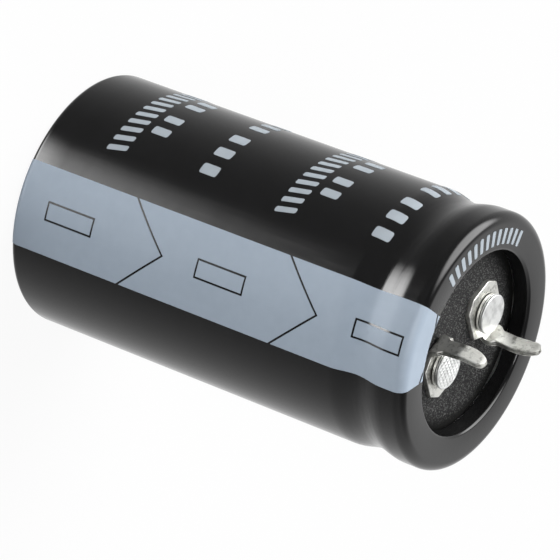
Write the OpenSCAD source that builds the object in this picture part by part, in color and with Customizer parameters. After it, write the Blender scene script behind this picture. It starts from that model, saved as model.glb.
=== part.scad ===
// Snap-in aluminium electrolytic capacitor, standing on its closed end.
// +Z runs along the body to the terminals, and the two pins lie on the X axis, the negative one at +X.

/* [Body] */
// Outer diameter of the drawn aluminium can
can_d = 25; // [22:0.5:30]
// Height of the body from the closed end to the top of the rolled rim, sleeve included
body_h = 45; // [35:0.5:60]
// Wall thickness of the can
can_wall = 0.4; // [0.3:0.05:0.5]
// Floor thickness of the can
can_floor = 0.5; // [0.4:0.05:0.8]
// Outer corner radius at the closed end
bottom_r = 0.7; // [0.65:0.05:1.2]
// Outer corner radius of the rolled rim
rim_r = 1; // [0.8:0.05:1.3]
// Width of the rolled rim, from the outside of the sleeve to the opening
rim_w = 3.63; // [3:0.05:4.2]
// Radius of the rim's inner edge
lip_r = 0.45; // [0.3:0.05:0.6]
// Height of the rim above the face of the seal
rim_rise = 1.95; // [1.6:0.05:2.4]
// Depth to which the rolled edge bites into the rubber
lip_bite = 0.2; // [0.1:0.05:0.3]
// Width of the vent's scored lines in the closed end
score_w = 0.35; // [0.2:0.05:0.5]

/* [Groove] */
// Distance from the top of the rim down to the middle of the rolled groove
groove_drop = 5.2; // [5:0.1:6.5]
// Half the length of the groove along the body
groove_half = 2.9; // [2.4:0.1:3]
// Depth of the groove in the can
groove_depth = 1.3; // [1:0.05:1.5]
// Depth to which the sleeve dips over the groove
groove_dip = 0.5; // [0.3:0.05:0.8]

/* [Sleeve] */
// Thickness of the shrink sleeve
sleeve_wall = 0.15; // [0.1:0.01:0.18]
// Clearance between the sleeve and the can
sleeve_gap = 0.03; // [0.01:0.01:0.05]
// Width of the edge that turns in under the closed end
sleeve_turn = 3.4; // [2:0.1:5]

/* [Print] */
// Thickness of the printed ink
ink = 0.04; // [0.03:0.01:0.08]
// Angle that the polarity stripe covers
stripe_angle = 39; // [30:1:50]
// Angle of the middle of the stripe from the negative pin
stripe_turn = -3.1; // [-10:0.1:10]
// Spacing of the printed pattern along the body
print_pitch = 17.5; // [15:0.1:20]
// Height of the corners of the first arrow line
arrow_z = 12.8; // [10:0.1:15]
// Height of an arrow's tip over its corners
arrow_rise = 4.5; // [3:0.1:6]
// Height of the middle of the first minus sign
minus_z = 6.4; // [5:0.1:8]
// Length of a minus sign
minus_l = 5.35; // [4:0.05:6.5]
// Width of a minus sign
minus_w = 1.75; // [1.2:0.05:2.5]
// Width of the bare lines in the stripe
line_w = 0.2; // [0.12:0.01:0.3]
// Spacing of the two blocks of printed marks
marks_pitch = 19.4; // [18:0.1:24]
// Height of the bold marks along the body
bold_h = 2.1; // [1.5:0.1:3]
// Height of the lighter marks along the body
light_h = 1.9; // [1:0.1:2.5]
// Distance of the bold row from the closed end
bold_z = 7; // [5:0.1:8]
// Distance from the bold row to the row after it
row_gap = 0.8; // [0.4:0.1:2]
// Distance from the second row to the third
block_gap = 5.3; // [4:0.1:7]
// Angle between the bold marks
bold_angle = 5.5; // [4:0.5:7]
// Angle between the lighter marks
light_angle = 9.2; // [7:0.1:10]
// Angle between the marks of the spaced row
wide_angle = 11; // [9:0.5:12]
// Share of its place that each mark covers
mark_fill = 0.5; // [0.3:0.05:0.8]

/* [Seal] */
// Thickness of the rubber facing
rubber_t = 0.85; // [0.6:0.05:1]
// Thickness of the phenolic board
board_t = 1.1; // [0.8:0.05:1.3]
// Clearance round the seal, the rivets and the tabs
fit = 0.03; // [0.02:0.01:0.05]

/* [Terminals] */
// Spacing of the two pins
pin_pitch = 10; // [9.5:0.1:10.5]
// Height of the pin tips over the rim
pin_rise = 4.1; // [3.5:0.1:6.3]
// Width of a pin
pin_w = 1.5; // [1.2:0.05:1.8]
// Thickness of a pin across its folded edges
pin_t = 0.68; // [0.5:0.02:0.8]
// Thickness of the terminal's base plate
plate_t = 0.5; // [0.4:0.05:0.6]
// Width of the base plate
plate_w = 4.84; // [4.4:0.05:5.2]
// Length of the base plate behind the rivet
plate_back = 2.95; // [2.6:0.05:3.2]
// Chamfer at the back corners of the base plate
plate_chamfer = 1.1; // [0.6:0.05:1.4]
// Distance from the rivet at which the base plate starts to narrow towards the pin
plate_front = 1.5; // [1.2:0.1:1.8]
// Extra width on each side of a pin's foot
foot_flare = 0.35; // [0.2:0.05:0.5]
// Height over the plate at which the foot has narrowed to the pin
neck_rise = 1.2; // [0.9:0.1:1.6]
// Length over which the foot narrows
neck_l = 0.6; // [0.4:0.1:0.8]
// Distance of a rivet from the axis of the body
rivet_place = 3.85; // [3.7:0.05:4]
// Angle of a rivet from its own pin, round the axis of the body
rivet_turn = 38; // [36:1:40]
// Diameter of a rivet's shank
shank_d = 2.2; // [1.8:0.1:2.6]
// Diameter of a rivet's outer head
head_d = 3.92; // [3.6:0.02:4.1]
// Thickness of a rivet's outer head
head_t = 0.48; // [0.35:0.01:0.6]
// Diameter of the washer under the head
washer_d = 3.8; // [3.5:0.02:4]
// Thickness of the washer
washer_t = 0.36; // [0.25:0.01:0.45]
// Diameter of a rivet's inner head
inner_head_d = 4.2; // [3.6:0.1:4.6]
// Thickness of a rivet's inner head
inner_head_t = 0.6; // [0.4:0.05:0.8]
// Radius of the rounded edges of washers and heads
soft_edge = 0.11; // [0.08:0.01:0.12]
// Depth of the fine ring round the side of an outer head
ring_cut = 0.1; // [0.06:0.01:0.15]
// Spacing of the grooves pressed into the negative head
waffle_pitch = 0.42; // [0.4:0.02:0.6]
// Width of those grooves
waffle_w = 0.12; // [0.08:0.01:0.16]
// Depth of those grooves
waffle_cut = 0.06; // [0.04:0.01:0.1]

/* [Winding] */
// Room between the winding and the foot of the groove over it
winding_drop = 0.6; // [0.3:0.1:1]
// Room between the tape round the winding and the can
winding_room = 0.5; // [0.1:0.1:2]
// Diameter of the hole that the winding mandrel leaves
mandrel_d = 3; // [2:0.5:5]
// Thickness of the tape round the winding
tape_t = 0.1; // [0.05:0.05:0.2]
// Width of the tape round the winding
tape_w = 24; // [10:1:28]
// Thickness of the foil tabs
tab_t = 0.3; // [0.2:0.05:0.4]
// Width of the foil tabs
tab_w = 3; // [2:0.5:4]
// Distance from the axis at which the tabs leave the winding
tab_place = 7.2; // [6.8:0.1:8.5]
// Length of a tab inside the winding
tab_depth = 6; // [3:0.5:10]
// Inner radius of a tab's bend
tab_bend = 1.2; // [0.8:0.1:1.5]
// Diameter of a tab's pad under the board
pad_d = 4; // [3.4:0.1:4.6]

/* [Hidden] */
$fn = 96;

black_film = [0.06, 0.06, 0.065];
ink_blue = [0.64, 0.68, 0.75];
ink_pale = [0.8, 0.82, 0.86];
bare_metal = [0.78, 0.79, 0.8];
tinned = [0.83, 0.84, 0.84];
rubber_black = [0.09, 0.09, 0.09];
board_brown = [0.3, 0.18, 0.1];
paper_tan = [0.72, 0.66, 0.52];
tape_amber = [0.75, 0.55, 0.25];

// Lies between the outside of the sleeve and the outside of the can
skin = sleeve_wall + sleeve_gap;
body_r = can_d / 2 + skin;
open_r = body_r - rim_w;
groove_z = body_h - groove_drop;
floor_z = skin + can_floor;
seal_z = body_h - rim_rise;
rubber_z = seal_z - rubber_t;
board_z = rubber_z - board_t;
head_z = seal_z + plate_t + washer_t;
tip_z = body_h + pin_rise;
rim_top_start = body_h - rim_r;
slack = 0.01;

// The winding fills the can, and ends below the groove, which holds it down
winding_d = can_d - 2 * (can_wall + winding_room + tape_t);
winding_top = groove_z - groove_half - winding_drop;
winding_h = winding_top - floor_z;

// Side view of a pin: inner radius of the bend out of the plate, and the knee that snaps into a board
pin_bend = 0.4;
knee_out = 0.2;
tip_back = 0.4;
knee_share = 0.48;
bend_z = seal_z + plate_t + pin_bend;
knee_z = bend_z + (tip_z - bend_z) * knee_share;

// Outline of a pin's end: share of half the width, and distance below the tip
PIN_END = [[1, 1.1], [0.92, 0.55], [0.68, 0.17], [0.3, 0], [-0.3, 0], [-0.68, 0.3], [-0.92, 0.85], [-1, 1.5]];

// Fine lines that folding the sheet leaves along a pin's edges: places across its thickness, and width
FOLDS = [0.28, 0.62];
fold_w = 0.06;

// Shallow dimple near a pin's end
dimple_r = 0.6;
dimple_cut = 0.12;
dimple_side = 0.12;
dimple_drop = 0.75;

// Rows of a printed block: number of marks, angle of the first, angle between them, foot and height
second_z = bold_z + bold_h + row_gap;
third_z = second_z + light_h + block_gap;
MARK_ROWS = [
    [13, -38, bold_angle, bold_z, bold_h],
    [2, -53.5, light_angle, second_z, light_h],
    [2, -78, light_angle, second_z, light_h],
    [3, -43, wide_angle, third_z, light_h],
    [4, -80, light_angle, third_z, light_h]
];
// Marks on the rim: number, angle of the first, and share of the flat face that they span
RIM_ROW = [13, -40, bold_angle];
rim_span = 0.8;
rim_flat = rim_w - lip_r - rim_r;
rim_foot = open_r + lip_r + rim_flat * (1 - rim_span) / 2;

// Ends of the last arrow line on the rim: reach out, reach in and shift along the rim
rim_arrow_out = 0.45;
rim_arrow_in = 0.3;
rim_arrow_shift = 1.7;

// Scored lines of the vent
score_l = can_d * 0.52;
score_cut = can_floor * 0.35;

// The terminal's own frame has its origin at the rivet, +X towards the pin and +Y along the pin's width
pin_x = pin_pitch / 2;
rivet_x = rivet_place * cos(rivet_turn);
rivet_y = rivet_place * sin(rivet_turn);
pin_reach = norm([pin_x - rivet_x, rivet_y]);
pin_heading = atan2(-rivet_y, pin_x - rivet_x);
foot_half = pin_w / 2 + foot_flare;

function arc(cx, cz, r, from, to, steps = 8) =
    [for (i = [0:steps]) let (a = from + (to - from) * i / steps) [cx + r * cos(a), cz + r * sin(a)]];

function backwards(line) = [for (i = [len(line) - 1:-1:0]) line[i]];

// How far the groove reaches in at height z, for a groove of the given depth
function dip_at(z, depth) =
    abs(z - groove_z) < groove_half ? depth * pow(cos(90 * (z - groove_z) / groove_half), 2) : 0;

function groove_line(r, depth, steps = 24) =
    [for (i = [0:steps]) let (z = groove_z + groove_half * (2 * i / steps - 1)) [r - dip_at(z, depth), z]];

// Half-section line at depth d under the outside of the sleeve, from the foot of the side to the rim's top
function body_line(d, depth, foot_from = -90) = concat(
    arc(body_r - bottom_r, bottom_r, bottom_r - d, foot_from, 0),
    groove_line(body_r - d, depth),
    arc(body_r - rim_r, rim_top_start, rim_r - d, 0, 90)
);

function lip_line(d) = arc(open_r + lip_r, body_h - lip_r, max(lip_r - d, slack), 90, 180, 5);

module sleeve_section() {
    inner_r = body_r - sleeve_turn;
    skirt_z = seal_z + fit;
    polygon(concat(
        [[inner_r, 0]], body_line(0, groove_dip), lip_line(0),
        [[open_r, skirt_z], [open_r + sleeve_wall, skirt_z]],
        backwards(lip_line(sleeve_wall)), backwards(body_line(sleeve_wall, groove_dip)),
        [[inner_r, sleeve_wall]]
    ));
}

// Shrink sleeve, turned in round both ends
module sleeve() {
    color(black_film) rotate_extrude($fn = 180) sleeve_section();
}

// Thin layer of ink that follows the outside of the sleeve from its foot to the edge of the opening
module ink_section() {
    edge = open_r + lip_r;
    polygon(concat(
        body_line(-ink, groove_dip, -50), [[edge, body_h + ink], [edge, body_h]],
        backwards(body_line(0, groove_dip, -50))
    ));
}

// Straight line between two points, in the plane
module stroke(p, q, w = line_w) {
    along = (q - p) / norm(q - p);
    side = [-along[1], along[0]] * w / 2;
    polygon([p + side, q + side, q - side, p - side]);
}

// Arrow line across the stripe, drawn with the stripe's middle at 0 and the body's height upwards
module arrow_line(z) {
    over = 0.1;
    half = body_r * sin(stripe_angle / 2) * (1 + over);
    corner = z - arrow_rise * over;
    for (s = [-1, 1]) {
        stroke([s * half, corner], [-s * slack, z + arrow_rise]);
    }
}

module minus_line(z) {
    translate([0, z]) difference() {
        square([minus_w + line_w, minus_l + line_w], center = true);
        square([minus_w - line_w, minus_l - line_w], center = true);
    }
}

// The pattern runs on over the rim, so only the ends of the last arrow line show beside the opening
module rim_arrow_ends() {
    reach = open_r + lip_r;
    for (s = [-1, 1]) {
        rotate(s * stripe_angle / 2) {
            stroke([reach + rim_arrow_out, 0], [reach - rim_arrow_in, -s * rim_arrow_shift]);
        }
    }
}

// Polarity stripe, with bare lines for the arrows and the minus signs
module negative_stripe() {
    color(ink_blue) rotate(stripe_turn) difference() {
        rotate_extrude(angle = stripe_angle, start = -stripe_angle / 2, $fn = 180) ink_section();
        rotate([90, 0, 90]) linear_extrude(height = body_r + 1) {
            for (i = [0:1:floor((groove_z - arrow_z) / print_pitch)]) {
                arrow_line(arrow_z + i * print_pitch);
            }
            for (i = [0:1:floor((body_h - minus_z) / print_pitch)]) {
                minus_line(minus_z + i * print_pitch);
            }
        }
        translate([0, 0, body_h - ink]) linear_extrude(height = 3 * ink) rim_arrow_ends();
    }
}

// Row of equal marks cut from a ring, from angle at round the body and away from the stripe
module ring_marks(count, at, step) {
    reach = 2 * body_r;
    intersection() {
        children();
        for (i = [0:count - 1]) {
            rotate(at - (i + mark_fill) * step) linear_extrude(height = body_h + 1) {
                polygon([[0, 0], [reach, 0], reach * [cos(mark_fill * step), sin(mark_fill * step)]]);
            }
        }
    }
}

module mark_row(row) {
    ring_marks(row[0], row[1], row[2]) {
        rotate_extrude($fn = 180) translate([body_r, row[3]]) square([ink, row[4]]);
    }
}

// Plain bars where the side and the rim are printed
module label_marks() {
    color(ink_pale) {
        for (i = [0, 1]) {
            translate([0, 0, i * marks_pitch]) {
                for (row = MARK_ROWS) {
                    mark_row(row);
                }
            }
        }
        ring_marks(RIM_ROW[0], RIM_ROW[1], RIM_ROW[2]) rotate_extrude($fn = 180) {
            translate([rim_foot, body_h]) square([rim_flat * rim_span, ink]);
        }
    }
}

module can_section() {
    wall = skin + can_wall;
    inner_foot = 0.3;
    lip_z = seal_z - lip_bite;
    polygon(concat(
        [[0, skin]], body_line(skin, groove_depth), lip_line(skin),
        [[open_r + skin, lip_z], [open_r + wall, lip_z]],
        backwards(lip_line(wall)), arc(body_r - rim_r, rim_top_start, rim_r - wall, 90, 0),
        backwards(groove_line(body_r - wall, groove_depth)),
        arc(body_r - wall - inner_foot, floor_z + inner_foot, inner_foot, 0, -90), [[0, floor_z]]
    ));
}

// Scored lines that let the closed end open under pressure
module vent_scores() {
    for (a = [0, 60, 120]) {
        rotate(a) translate([0, 0, skin]) cube([score_l, score_w, 2 * score_cut], center = true);
    }
}

// Drawn can: floor with a vent, side wall, rolled groove and rolled rim
module can() {
    color(bare_metal) difference() {
        rotate_extrude($fn = 180) can_section();
        vent_scores();
    }
}

// Places what follows at both rivets, the second half a turn from the first
module at_rivets() {
    for (turn = [0, 180]) {
        rotate(turn) translate([rivet_x, rivet_y, 0]) children();
    }
}

module rivet_bores(z, t) {
    at_rivets() translate([0, 0, z - 1]) cylinder(d = shank_d + 2 * fit, h = t + 2, $fn = 48);
}

function can_inside_at(z) = can_d / 2 - can_wall - dip_at(z, groove_depth);

// Rubber facing of the seal, with the ring that the rolled edge of the can presses into it
module seal_rubber() {
    r = can_inside_at(rubber_z) - fit;
    color(rubber_black) difference() {
        translate([0, 0, rubber_z]) cylinder(r = r, h = rubber_t, $fn = 180);
        translate([0, 0, seal_z - lip_bite]) difference() {
            cylinder(r = open_r + skin + can_wall + fit, h = 1, $fn = 180);
            translate([0, 0, -1]) cylinder(r = open_r + skin - fit, h = 3, $fn = 180);
        }
        rivet_bores(rubber_z, rubber_t);
    }
}

// Phenolic board of the seal, which rests on the groove
module seal_board() {
    r = can_inside_at(board_z) - fit;
    color(board_brown) difference() {
        translate([0, 0, board_z]) cylinder(r = r, h = board_t, $fn = 180);
        rivet_bores(board_z, board_t);
    }
}

// Side view of the pin: bend out of the plate, a leg that leans out, and an end that leans back
module pin_side(x, t, foot = true) {
    polygon([
        [x, bend_z], [x + knee_out, knee_z], [x + knee_out - tip_back, tip_z],
        [x + t + knee_out - tip_back, tip_z], [x + t + knee_out, knee_z], [x + t, bend_z]
    ]);
    if (foot) {
        intersection() {
            translate([x - pin_bend, bend_z]) difference() {
                circle(r = pin_bend + t, $fn = 48);
                circle(r = pin_bend, $fn = 48);
            }
            translate([x - pin_bend, seal_z]) square([pin_bend + t + 1, bend_z - seal_z + slack]);
        }
    }
}

// Front view of the pin: wide foot, straight leg, and a rounded end that is cut back more on one side
module pin_front() {
    half = pin_w / 2;
    neck_z = seal_z + plate_t + neck_rise;
    polygon(concat(
        [[-foot_half, seal_z], [foot_half, seal_z], [foot_half, neck_z - neck_l], [half, neck_z]],
        [for (p = PIN_END) [p[0] * half, tip_z - p[1]]],
        [[-half, neck_z], [-foot_half, neck_z - neck_l]]
    ));
}

// Stands a drawing of distance and height upright, and draws it out to both sides of its middle
module across(w) {
    rotate([90, 0, 0]) linear_extrude(height = w, center = true) children();
}

// Pin with the fine fold lines along both edges and the dimple near its end
module pin() {
    face_x = pin_reach - pin_t / 2;
    dimple_x = face_x + knee_out - tip_back * (1 - dimple_drop / (tip_z - knee_z));
    difference() {
        intersection() {
            across(plate_w) pin_side(face_x, pin_t);
            rotate([90, 0, 90]) linear_extrude(height = 2 * pin_reach) pin_front();
        }
        for (s = [-1, 1]) {
            for (share = FOLDS) {
                translate([0, s * pin_w / 2, 0]) {
                    across(2 * fold_w) pin_side(face_x + share * pin_t, fold_w, foot = false);
                }
            }
        }
        translate([dimple_x + dimple_cut - dimple_r, dimple_side, tip_z - dimple_drop]) {
            sphere(r = dimple_r, $fn = 32);
        }
    }
}

// Base plate: chamfered behind, and cut back in front to the foot of the pin
module plate_outline() {
    half = plate_w / 2;
    front = pin_reach - pin_t / 2 - pin_bend;
    polygon([
        [-plate_back, -half + plate_chamfer], [-plate_back + plate_chamfer, -half], [plate_front, -half],
        [front, -foot_half], [front, foot_half], [plate_front, half],
        [-plate_back + plate_chamfer, half], [-plate_back, half - plate_chamfer]
    ]);
}

// Stamped terminal: base plate under the rivet and the pin bent up from it
module terminal() {
    rotate(pin_heading) {
        difference() {
            translate([0, 0, seal_z]) linear_extrude(height = plate_t) plate_outline();
            translate([0, 0, seal_z - 1]) cylinder(d = shank_d + 2 * fit, h = plate_t + 2, $fn = 48);
        }
        pin();
    }
}

module on_negative_side() {
    translate([rivet_x, rivet_y, 0]) children();
}

module on_positive_side() {
    rotate(180) on_negative_side() children();
}

module terminal_negative() {
    color(tinned) on_negative_side() terminal();
}

module terminal_positive() {
    color(tinned) on_positive_side() terminal();
}

// Disc with rounded outer edges
module soft_disc(r, t) {
    rotate_extrude($fn = 72) {
        square([r - soft_edge, t]);
        translate([0, soft_edge]) square([r, t - 2 * soft_edge]);
        for (z = [soft_edge, t - soft_edge]) {
            translate([r - soft_edge, z]) circle(r = soft_edge, $fn = 24);
        }
    }
}

module washer() {
    translate([0, 0, seal_z + plate_t]) difference() {
        soft_disc(washer_d / 2, washer_t);
        translate([0, 0, -1]) cylinder(d = shank_d + 2 * fit, h = washer_t + 2, $fn = 48);
    }
}

module washer_negative() {
    color(tinned) on_negative_side() washer();
}

module washer_positive() {
    color(tinned) on_positive_side() washer();
}

// Fine ring that runs round the side of an outer head, halfway up
module head_ring() {
    rotate_extrude($fn = 72) translate([head_d / 2, head_z + head_t / 2]) {
        polygon([[-ring_cut, 0], [slack, -ring_cut / 2], [slack, ring_cut / 2]]);
    }
}

// Rivet: inner head under the foil tab, shank through the seal, outer head over the washer
module rivet() {
    shank_z = board_z - tab_t;
    translate([0, 0, shank_z - inner_head_t]) soft_disc(inner_head_d / 2, inner_head_t);
    translate([0, 0, shank_z - slack]) cylinder(d = shank_d, h = head_z - shank_z + 2 * slack, $fn = 48);
    difference() {
        translate([0, 0, head_z]) soft_disc(head_d / 2, head_t);
        head_ring();
    }
}

// Crossing grooves that the riveting tool presses into the negative head
module waffle() {
    lines = floor(head_d / 2 / waffle_pitch);
    for (turn = [0, 90]) {
        rotate(turn + 45) for (i = [-lines:lines]) {
            translate([i * waffle_pitch - waffle_w / 2, -head_d, head_z + head_t - waffle_cut]) {
                cube([waffle_w, 2 * head_d, 1]);
            }
        }
    }
}

module rivet_negative() {
    color(bare_metal) on_negative_side() difference() {
        rivet();
        waffle();
    }
}

module rivet_positive() {
    color(bare_metal) on_positive_side() rivet();
}

// Foil tab: an upright strip out of the winding, bent over to a holed pad under the board
module tab() {
    strip_z = winding_top - tab_depth;
    turn_z = board_z - tab_t - tab_bend;
    turn_x = tab_place - tab_t - tab_bend;
    difference() {
        union() {
            across(tab_w) {
                translate([tab_place - tab_t, strip_z]) square([tab_t, turn_z - strip_z]);
                intersection() {
                    translate([turn_x, turn_z]) difference() {
                        circle(r = tab_bend + tab_t, $fn = 48);
                        circle(r = tab_bend, $fn = 48);
                    }
                    translate([turn_x, turn_z]) square(tab_bend + tab_t);
                }
                translate([rivet_place, board_z - tab_t]) square([turn_x - rivet_place, tab_t]);
            }
            translate([rivet_place, 0, board_z - tab_t]) cylinder(d = pad_d, h = tab_t, $fn = 48);
        }
        translate([rivet_place, 0, board_z - 2]) cylinder(d = shank_d + 2 * fit, h = 4, $fn = 48);
    }
}

module tab_negative() {
    color(bare_metal) rotate(rivet_turn) tab();
}

module tab_positive() {
    color(bare_metal) rotate(rivet_turn + 180) tab();
}

// Wound foil and paper as one roll, with the mandrel's hole and a slot for each tab
module winding() {
    color(paper_tan) difference() {
        translate([0, 0, floor_z]) cylinder(d = winding_d, h = winding_h, $fn = 120);
        translate([0, 0, floor_z - 1]) cylinder(d = mandrel_d, h = winding_h + 2, $fn = 48);
        for (turn = [0, 180]) {
            rotate(rivet_turn + turn) {
                translate([tab_place - tab_t - fit, -tab_w / 2 - fit, winding_top - tab_depth]) {
                    cube([tab_t + 2 * fit, tab_w + 2 * fit, tab_depth + 1]);
                }
            }
        }
    }
}

// Tape that closes the roll
module winding_tape() {
    color(tape_amber) translate([0, 0, floor_z + (winding_h - tape_w) / 2]) difference() {
        cylinder(d = winding_d + 2 * tape_t, h = tape_w, $fn = 120);
        translate([0, 0, -1]) cylinder(d = winding_d, h = tape_w + 2, $fn = 120);
    }
}

sleeve();
negative_stripe();
label_marks();
can();
seal_rubber();
seal_board();
terminal_negative();
terminal_positive();
washer_negative();
washer_positive();
rivet_negative();
rivet_positive();
tab_negative();
tab_positive();
winding();
winding_tape();
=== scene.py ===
# %% [markdown]
# A snap-in electrolytic capacitor is a deep-drawn aluminium can with a rubber-faced seal rolled in at its
# open end and a glossy black sleeve shrunk over it. Two tinned terminals are riveted through the seal. The
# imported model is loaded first, because every new piece is laid exactly where its solid counterpart lies.

import bpy
import numpy as np
from mathutils import Matrix, Vector


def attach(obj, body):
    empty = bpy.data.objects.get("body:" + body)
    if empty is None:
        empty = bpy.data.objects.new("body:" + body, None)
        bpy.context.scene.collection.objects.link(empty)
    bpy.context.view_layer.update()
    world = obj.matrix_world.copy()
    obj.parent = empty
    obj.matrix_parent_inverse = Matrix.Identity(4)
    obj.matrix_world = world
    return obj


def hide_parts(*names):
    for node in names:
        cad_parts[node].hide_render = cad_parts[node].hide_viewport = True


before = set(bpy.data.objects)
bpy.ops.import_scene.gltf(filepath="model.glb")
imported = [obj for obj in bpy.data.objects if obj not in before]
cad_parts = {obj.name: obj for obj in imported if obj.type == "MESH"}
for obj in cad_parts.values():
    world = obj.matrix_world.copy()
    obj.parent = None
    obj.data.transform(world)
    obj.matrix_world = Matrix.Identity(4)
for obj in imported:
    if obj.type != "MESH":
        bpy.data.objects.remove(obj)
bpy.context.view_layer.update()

# %% [markdown]
# All sizes below are in millimetres, as a drawing would give them, and they repeat the drawing of the
# solids. One factor turns them to metres at the moment a mesh is made.

# %% Sizes
MM = 0.001
BODY_R, BODY_H = 12.68, 45.0
BOTTOM_R, RIM_R, LIP_R = 0.7, 1.0, 0.35
OPEN_R = 9.05
GROOVE_Z, GROOVE_HALF, GROOVE_DIP = 39.8, 2.9, 0.5
SLEEVE_WALL, SLEEVE_TURN = 0.15, 3.4
SEAL_Z = 43.05
print("body in mm:", 2 * BODY_R, "across the sleeve and", BODY_H, "long")

# %% [markdown]
# Every surface here is a grid of points that a formula gives, and faces that join neighbouring points.
# Modelling by hand or with modifiers would work too, but a formula keeps each size where the drawing has
# it. One helper makes the faces of a grid. One turns the faces of a closed mesh outwards, whose signed
# volume is negative when they point inwards. One makes a piece of both, smooth but for edges that turn by
# more than a set angle.

# %% Grids and pieces
SHARP_ANGLE = 50


def grid_faces(rows, columns, wrap_rows=False, wrap_columns=False):
    """Quads of a rows x columns grid of points: each joins point (i, j) to its neighbours (i + 1, j + 1)."""
    i = np.arange(rows if wrap_rows else rows - 1)[:, None]
    j = np.arange(columns if wrap_columns else columns - 1)[None, :]
    i2, j2 = (i + 1) % rows, (j + 1) % columns
    quads = np.stack([i * columns + j, i * columns + j2, i2 * columns + j2, i2 * columns + j], -1)
    return quads.reshape(-1, 4)


def signed_volume(points, quads):
    """Sum over the triangles of a closed mesh of one sixth of the triple product of their corners."""
    a, b, c, d = (points[quads[:, k]] for k in range(4))
    return (np.einsum("ij,ij->i", a, np.cross(b, c)) + np.einsum("ij,ij->i", a, np.cross(c, d))).sum() / 6


def outward(points, quads):
    """The same quads, turned round if they face inwards."""
    return quads if signed_volume(points, quads) > 0 else quads[:, ::-1]


def piece(name, points, quads, replaced, mask=None):
    """Makes a mesh of points in mm, turns its faces outwards, and lets it stand for the named solid."""
    points = np.asarray(points, float).reshape(-1, 3)
    quads = outward(points, np.asarray(quads))
    mesh = bpy.data.meshes.new(name)
    mesh.from_pydata((points * MM).tolist(), [], quads.tolist())
    mesh.polygons.foreach_set("use_smooth", np.ones(len(quads), bool))
    # A mask, where given, goes to a UV layer, by which the tin material paints shade into the fold grooves.
    if mask is not None:
        layer = mesh.uv_layers.new(name="mask")
        layer.data.foreach_set("uv", np.repeat(mask[quads.reshape(-1)], 2).astype(np.float32))
    mesh.validate()
    mesh.set_sharp_from_angle(angle=np.radians(SHARP_ANGLE))
    thing = bpy.data.objects.new(name, mesh)
    bpy.context.scene.collection.objects.link(thing)
    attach(thing, "root")
    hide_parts(replaced)
    print(name, "faces:", len(quads), "volume in mm3:", round(signed_volume(points, quads), 2))


# %% [markdown]
# Two kinds of end close a tube of points. A ladder of quads joins the two halves of a ring to each other
# and makes a flat lid. A disc grid squeezes a square grid into a circle, and makes a lid that can carry
# relief.

# %% Lids
def ladder(ring):
    """Quads that join point i of a ring to point i from its end: a flat lid that runs against the ring."""
    ring = np.asarray(ring)
    i = np.arange(len(ring) // 2 - 1)
    return np.stack([ring[i + 1], ring[i], ring[-1 - i], ring[-2 - i]], 1)


def disc_grid(n):
    """Square grid (u, v) squeezed to the unit disc: x = u sqrt(1 - v*v/2), y = v sqrt(1 - u*u/2)."""
    u, v = np.meshgrid(np.linspace(-1, 1, n + 1), np.linspace(-1, 1, n + 1))
    return u * np.sqrt(1 - v * v / 2), v * np.sqrt(1 - u * u / 2)


def lathe_with_relief(n, relief, side):
    """Disc grid lid of n cells a side at heights relief(x, y), side line carried round z, and flat bottom."""
    x, y = disc_grid(n)
    top = side[0, 0] * np.stack([x, y], -1)
    lid = np.concatenate([top, relief(top[..., 0], top[..., 1])[..., None]], -1).reshape(-1, 3)
    index = np.arange((n + 1) ** 2).reshape(n + 1, n + 1)
    edge = np.concatenate([index[0, :-1], index[:-1, -1], index[-1, :0:-1], index[:0:-1, 0]])
    turn = np.arctan2(lid[edge, 1], lid[edge, 0])
    rings = revolve(side[1:], np.degrees(turn)).transpose(1, 0, 2)
    count = len(lid) + np.arange(rings.shape[0] * len(edge)).reshape(rings.shape[0], -1)
    loops = np.concatenate([edge[None], count])
    walls = np.stack([loops[:-1], loops[1:], np.roll(loops[1:], -1, 1), np.roll(loops[:-1], -1, 1)], -1)
    faces = [grid_faces(n + 1, n + 1), walls.reshape(-1, 4), ladder(loops[-1])]
    return np.concatenate([lid, rings.reshape(-1, 3)]), np.concatenate(faces)


# %% [markdown]
# The outside of the sleeve is a surface of revolution. Its side view is one line: the rounded foot, the
# straight wall, the dip over the groove that is rolled into the can, and the rounded rim. The dip is a
# squared cosine, which starts and ends with no kink, as a film that shrinks over a groove does.

# %% Side view of the body
def arc(center, radius, start, end, steps):
    """Points at radius from center, from angle start to angle end in degrees."""
    t = np.radians(np.linspace(start, end, steps))
    return np.stack([center[0] + radius * np.cos(t), center[1] + radius * np.sin(t)], 1)


def body_line(foot=-90.0):
    """Rounded foot from the given angle, wall with a squared-cosine dip over the groove, and rounded rim."""
    z = np.concatenate([np.linspace(BOTTOM_R, GROOVE_Z - GROOVE_HALF, 14)[1:],
                        np.linspace(GROOVE_Z - GROOVE_HALF, GROOVE_Z + GROOVE_HALF, 49)[1:],
                        np.linspace(GROOVE_Z + GROOVE_HALF, BODY_H - RIM_R, 8)[1:-1]])
    share = np.clip((z - GROOVE_Z) / GROOVE_HALF, -1, 1)
    wall = np.stack([BODY_R - GROOVE_DIP * np.cos(share * np.pi / 2) ** 2, z], 1)
    return np.concatenate([
        arc((BODY_R - BOTTOM_R, BOTTOM_R), BOTTOM_R, foot, 0, 13), wall,
        arc((BODY_R - RIM_R, BODY_H - RIM_R), RIM_R, 0, 90, 19),
    ])


def lip_line(end=180.0):
    """Arc, up to a quarter circle, that turns the rim down into the opening."""
    return arc((OPEN_R + LIP_R, BODY_H - LIP_R), LIP_R, 90, end, 13)


def unit_tangent(line):
    """Direction of a line at each of its points, from the points before and after it."""
    tangent = np.gradient(line, axis=0)
    return tangent / np.linalg.norm(tangent, axis=1)[:, None]


def revolve(line, azimuths):
    """Carries a line of (radius, height) round the axis: (r cos a, r sin a, z), one row per azimuth."""
    a = np.radians(azimuths)[:, None]
    r, z = line[:, 0][None, :], line[:, 1][None, :]
    return np.stack([r * np.cos(a), r * np.sin(a), z + 0 * a], -1)


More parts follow.
